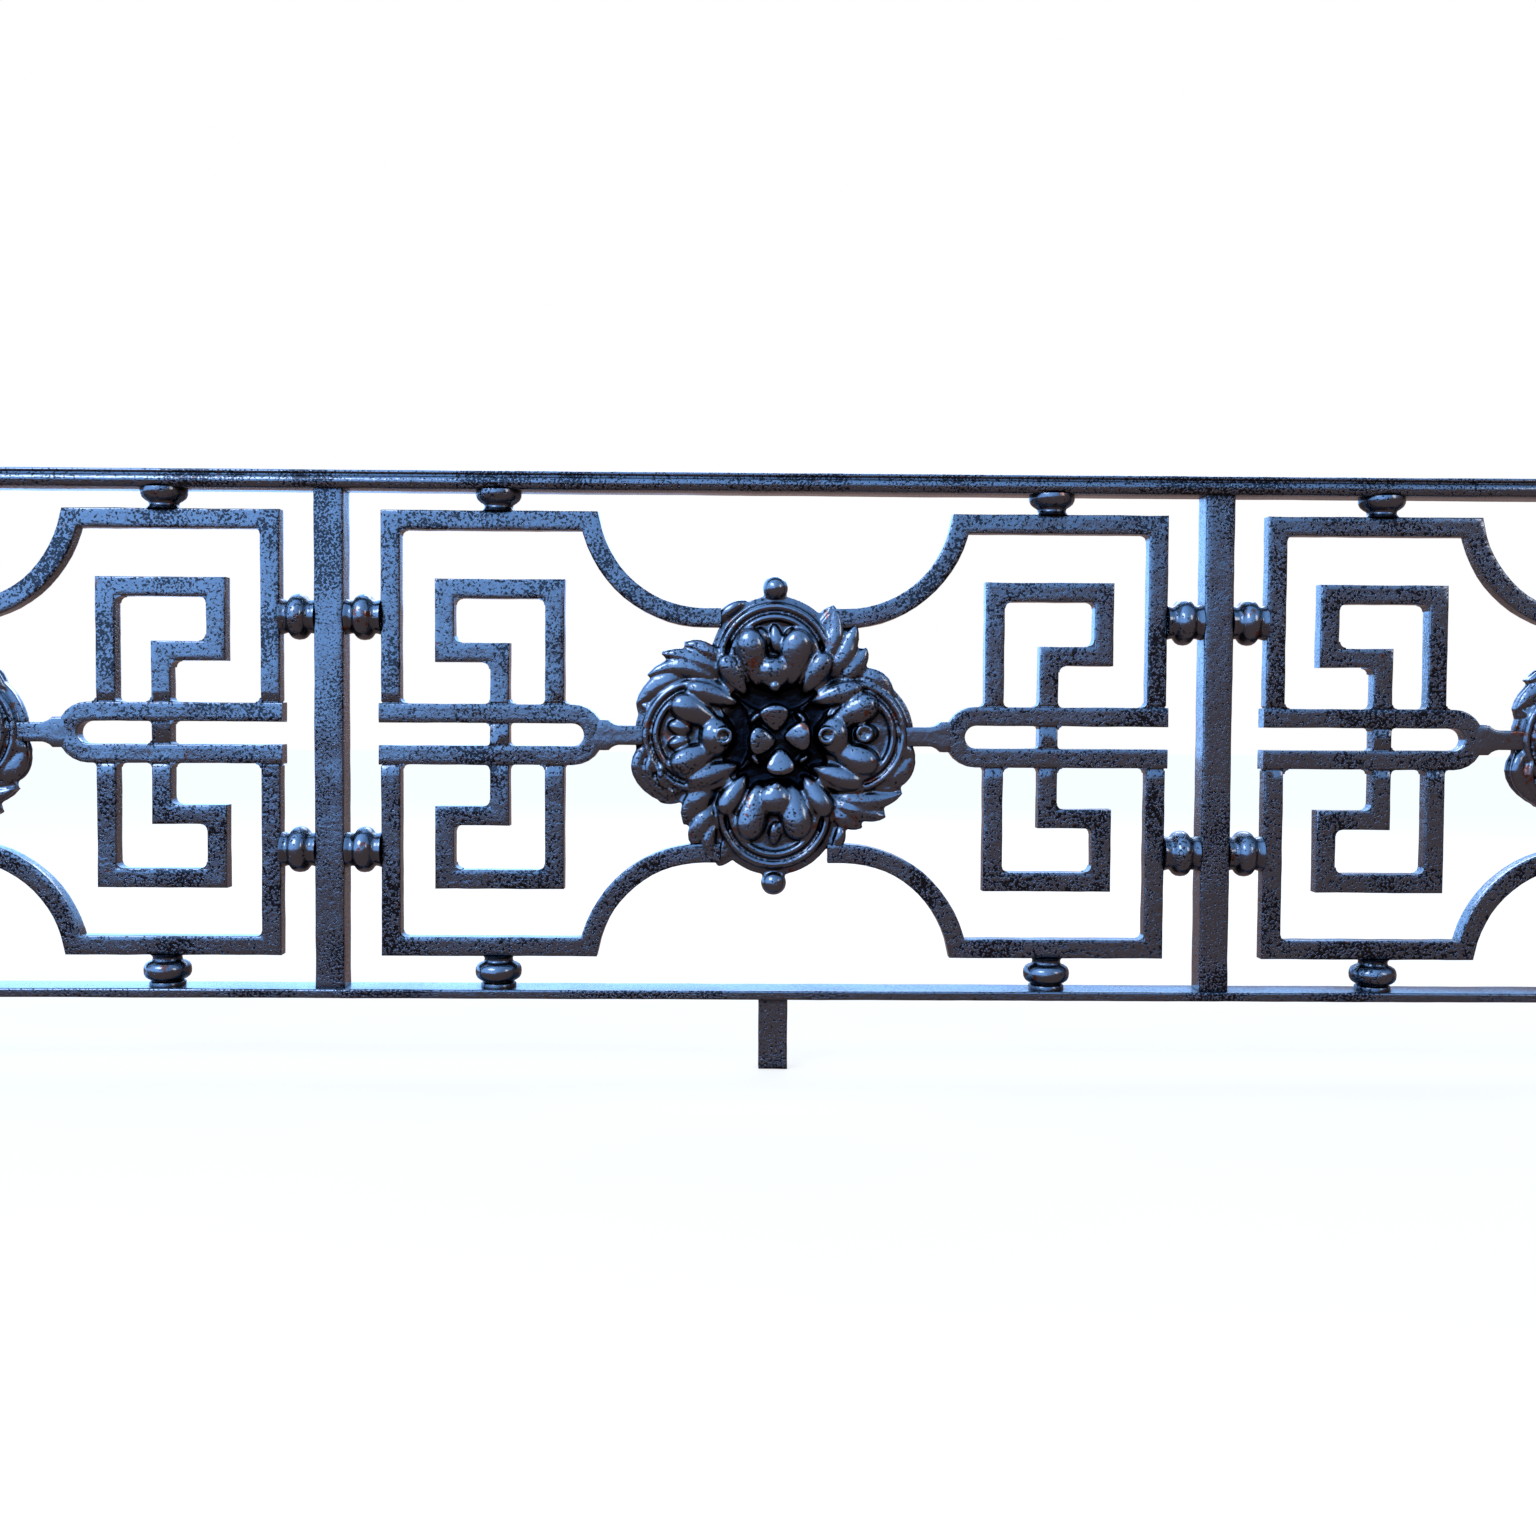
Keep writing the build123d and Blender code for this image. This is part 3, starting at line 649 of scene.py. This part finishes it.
# leaf blades: root, middle and tip in x and z, width, crest height
leaf_blades = [
    ((-30, 135), (-46, 126), (-60, 113), 13, 7.5),
    ((-46, 68), (-70, 86), (-91, 91), 17, 11),
    ((-44, 56), (-80, 76), (-114, 82), 18, 11),
    ((-48, 46), (-88, 68), (-128, 60), 19, 11),
    ((-88, 58), (-112, 52), (-139, 31), 24, 9),
    ((48, 70), (60, 98), (58, 132), 19, 11),
    ((54, 56), (71, 84), (81, 113), 20, 12),
    ((60, 50), (80, 70), (92, 89), 20, 11),
    ((78, 62), (104, 55), (116, 28), 22, 9),
    ((112, -2), (131, -14), (141, -20), 18, 8.5),
    ((112, -52), (126, -36), (141, -19), 26, 9.5),
    ((56, -58), (94, -66), (129, -57), 18, 11),
    ((54, -66), (86, -76), (113, -81), 18, 11),
    ((52, -74), (72, -84), (89, -92), 17, 10),
    ((66, -88), (66, -104), (54, -126), 13, 8.5),
    ((-124, -4), (-137, -34), (-112, -67), 15, 9.5),
    ((-116, -8), (-126, -38), (-106, -63), 9, 12),
    ((-108, -22), (-114, -44), (-98, -60), 9, 12),
    ((-58, -50), (-78, -66), (-91, -87), 24, 11),
    ((-58, -66), (-74, -92), (-82, -111), 22, 10),
    ((-56, -82), (-66, -108), (-56, -128), 15, 10),
]
blade_widths = [0.35, 0.6, 0.8, 0.93, 1.0, 1.0, 0.94, 0.8, 0.55, 0.15]
blade_rises = [0.2, 0.6, 0.9, 1.0, 1.0, 0.95, 0.85, 0.8, 0.75, 0.65]
blade_thickness = 3.5
round_section = [(math.cos(a * math.pi / 6), math.sin(a * math.pi / 6)) for a in range(12)]


def add_lobe(shape, x, z, length, width, crest, turn=0, taper=0, thickness=None, fullness=1.0):
    """A fat lobe, its outward end wider by its taper and its crown flatter the fuller it is."""
    ball = bmesh.ops.create_uvsphere(shape, u_segments=28, v_segments=18, radius=0.5)["verts"]
    for vert in ball:
        widened = 1 + taper * 2 * vert.co.x
        vert.co.y = math.copysign(abs(2 * vert.co.y) ** (1 / fullness) / 2, vert.co.y) * widened
        vert.co.z *= widened
    thick = thickness or width
    turned = Matrix.Rotation(-math.radians(turn), 3, "Y")
    bmesh.ops.scale(shape, vec=(length, thick, width), verts=ball)
    bmesh.ops.rotate(shape, cent=(0, 0, 0), matrix=turned, verts=ball)
    bmesh.ops.translate(shape, vec=(x, -(crest - thick / 2), z), verts=ball)


def add_roll(shape, x, z, radius, tube, height, half_angle=180, outward=90):
    """A round roll about a place, open for the part of the circle that faces the hub."""
    arc = arc_corners((x, z), radius, outward - half_angle, outward + half_angle, 60)
    sweep(shape, [(u, -height, v) for u, v in arc], round_section, [(tube, tube)] * len(arc))


def add_disc(shape, x, z, radius, height, edge):
    """A round plate from just behind the middle plane to a height, its rim bevelled by an edge."""
    sizes = {"radius1": radius, "radius2": radius - edge, "depth": height + edge}
    disc = bmesh.ops.create_cone(shape, cap_ends=True, segments=72, **sizes)["verts"]
    upright = Matrix.Rotation(math.pi / 2, 3, "X")
    bmesh.ops.rotate(shape, cent=(0, 0, 0), matrix=upright, verts=disc)
    bmesh.ops.translate(shape, vec=(x, -(height - edge) / 2, z), verts=disc)


def add_blade(shape, root, middle, tip, width, crest):
    """A leaf blade along a curve through three points, pointed at its tip."""
    path = []
    last = len(blade_widths) - 1
    for index in range(last + 1):
        t = index / last
        bend = [2 * m - (r + e) / 2 for r, m, e in zip(root, middle, tip)]
        x, z = [(1 - t) ** 2 * r + 2 * t * (1 - t) * b + t * t * e for r, b, e in zip(root, bend, tip)]
        path.append((x, -(crest * blade_rises[index] - blade_thickness), z))
    scales = [(share * width / 2, blade_thickness + 2 * share) for share in blade_widths]
    sweep(shape, path, round_section, scales)


def rosette_front():
    """All the forms of the rosette's front, overlapping, each closed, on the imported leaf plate."""
    shape = bmesh.new()
    shape.from_mesh(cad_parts["middle_bay_rosette_leaves"].data)
    bmesh.ops.scale(shape, vec=(1 / MM, 1 / MM, 1 / MM), verts=shape.verts)
    bmesh.ops.translate(shape, vec=(0, 0, -panel_middle), verts=shape.verts)
    bmesh.ops.remove_doubles(shape, verts=shape.verts, dist=0.01)
    for x, z in petal_centres:
        add_disc(shape, x * plate_shift, z * plate_shift, plate_radius, plate_height, plate_bevel)
        outward = math.degrees(math.atan2(z, x))
        for radius, tube, height, half_angle in rim_rolls:
            add_roll(shape, x, z, radius, tube, height, half_angle, outward)
    for row in leaf_blades:
        add_blade(shape, *row)
    for x, z in petal_centres:
        add_lobe(shape, x, z, dish_width, dish_width, dish_crest, thickness=dish_thickness)
    for x, z, length, width, crest, turn, taper in petal_lobes:
        size = (lobe_growth * length, lobe_growth * width)
        add_lobe(shape, x, z, *size, crest, turn, taper, fullness=lobe_fullness)
    for x, z, diameter, crest in pips:
        add_lobe(shape, x, z, diameter, diameter, crest)
    for x, z, height in craters:
        add_roll(shape, x, z, crater_radius, crater_tube, height)
    add_lobe(shape, 5, -3, length=74, width=64, crest=12, turn=90, thickness=24)
    for x, z, length, width, turn in sepals:
        add_lobe(shape, x, z, length, width, crest=21, turn=turn, taper=0.5, thickness=15, fullness=3.0)
    for x, z, turn in tongues:
        add_lobe(shape, x, z, length=8, width=18, crest=16.5, turn=turn)
    for z in (knob_z, -knob_z):
        add_lobe(shape, 0, z, knob_width, knob_width, knob_width / 2)
    return shape


def fuse_forms(shape, voxel):
    """One skin round overlapping closed forms."""
    loose = bpy.data.meshes.new("loose_forms")
    shape.to_mesh(loose)
    shape.free()
    holder = bpy.data.objects.new("loose_forms", loose)
    bpy.context.scene.collection.objects.link(holder)
    remesh = holder.modifiers.new("fuse", "REMESH")
    remesh.mode = "VOXEL"
    remesh.voxel_size = voxel
    evaluated = holder.evaluated_get(bpy.context.evaluated_depsgraph_get())
    fused = bpy.data.meshes.new_from_object(evaluated)
    skin = bmesh.new()
    skin.from_mesh(fused)
    bpy.data.objects.remove(holder)
    bpy.data.meshes.remove(loose)
    bpy.data.meshes.remove(fused)
    return skin


# The recess round the bud: its edges are drawn toward the middle plane, and its depth goes into a
# vertex attribute, by which the paint there is painted near black: painted shade. The two fronts are
# heights above the middle plane: where the effect has ended, and how far below that it is full.
recess_x = 3
recess_radius = 59
recess_edge = 8
recess_shade = 0.45
shade_front = (16, 3)
sink_share = 0.7
sink_front = (9, 4)


def fade(value, limit, span):
    """From 0 at a limit to 1 at a span short of it."""
    return min(1, max(0, (limit - value) / span))


forms = rosette_front()
back = bmesh.ops.duplicate(forms, geom=forms.verts[:] + forms.edges[:] + forms.faces[:])["geom"]
back_verts = [item for item in back if isinstance(item, bmesh.types.BMVert)]
bmesh.ops.scale(forms, vec=(1, -1, 1), verts=back_verts)
bmesh.ops.recalc_face_normals(forms, faces=forms.faces)
casting = fuse_forms(forms, voxel_size)
every_axis = {"use_axis_x": True, "use_axis_y": True, "use_axis_z": True}
bmesh.ops.smooth_vert(casting, verts=casting.verts, factor=0.5, **every_axis)
# Painted shade: the recess depth goes into a vertex attribute that darkens the paint there.
painted_recess_shade = casting.verts.layers.float.new("painted_recess_shade")
for vert in casting.verts:
    inside = fade(math.hypot(vert.co.x - recess_x, vert.co.z), recess_radius, recess_edge)
    vert[painted_recess_shade] = recess_shade * inside * fade(abs(vert.co.y), *shade_front)
    vert.co.y *= 1 - sink_share * inside * fade(abs(vert.co.y), *sink_front)
for bay, bay_x in bays.items():
    shape = place_shape(casting.copy(), bay_x)
    roughen(shape, depth=0.35, wavelength=12)
    nodes = [f"{bay}_bay_rosette_{part}" for part in ("leaves", "petals", "buds", "knobs")]
    add_piece(f"{bay}_bay_rosette_casting", shape, cast_paint, nodes, sharp_angle=180)
casting.free()

bpy.context.scene.view_settings.view_transform = "Standard"
